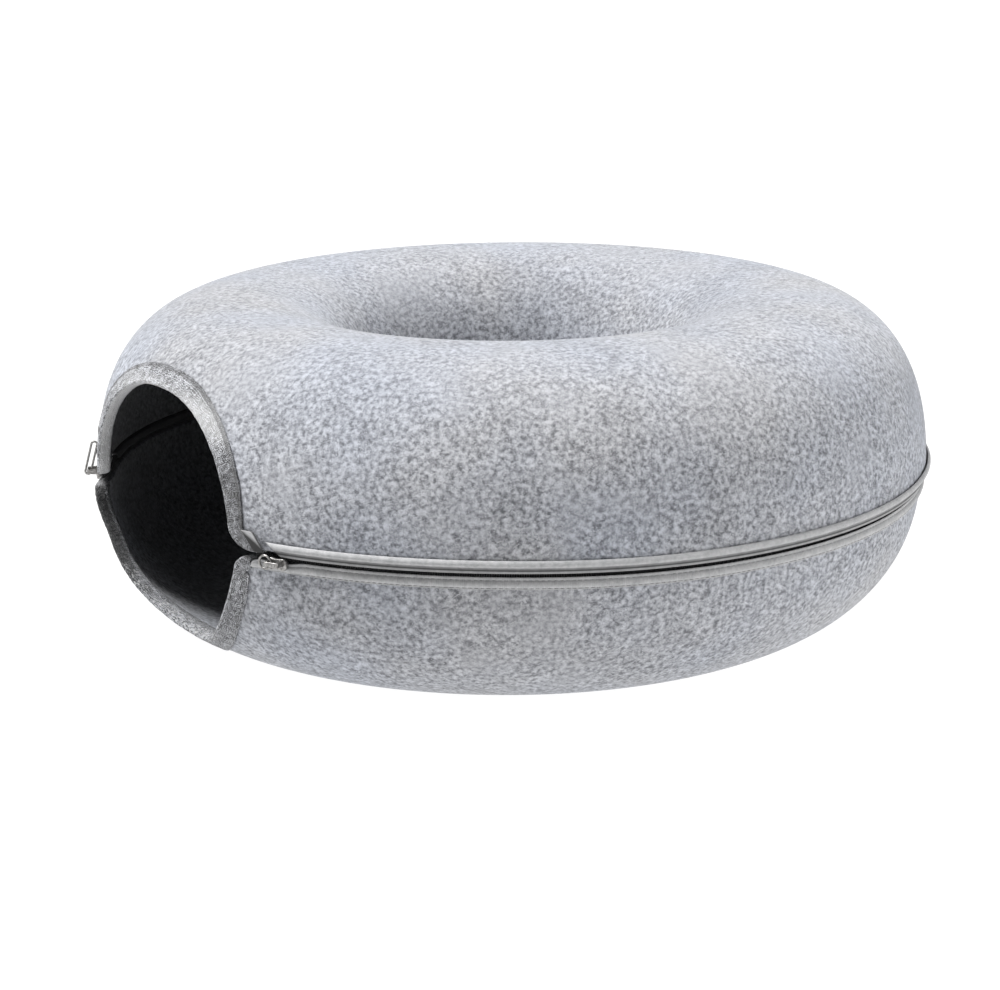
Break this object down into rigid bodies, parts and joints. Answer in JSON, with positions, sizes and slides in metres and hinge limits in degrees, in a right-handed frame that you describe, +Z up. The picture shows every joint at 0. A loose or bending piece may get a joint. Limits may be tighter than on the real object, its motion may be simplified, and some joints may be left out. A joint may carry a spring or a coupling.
{
  "type": "donut cat bed",
  "caption": "Ring-shaped felt cat bed with a bound arched entrance, a tunnel round the inside, an open middle and a zip that joins its upper and lower shells.",
  "frame": {"origin": "centre of the ring, on the floor under the base", "axes": "+Z up through the hole in the middle, entrance facing the direction halfway between -X and -Y"},
  "size_m": [0.5058, 0.5058, 0.196],
  "materials": {
    "felt": "heathered grey needle-punched felt",
    "binding_tape": "ribbed woven binding tape",
    "zip_tape": "woven zip tape",
    "coil": "dark nylon coil",
    "slider_metal": "satin nickel"
  },
  "bodies": {
    "root": {"upper_shell": "felt", "lower_shell": "felt", "binding_upper": "binding_tape", "binding_lower": "binding_tape", "zip_tape_upper": "zip_tape", "zip_tape_lower": "zip_tape", "zip_coil": "coil", "slider_right": "slider_metal", "slider_left": "slider_metal", "pull_right": "slider_metal", "pull_left": "slider_metal"}
  },
  "joints": []
}
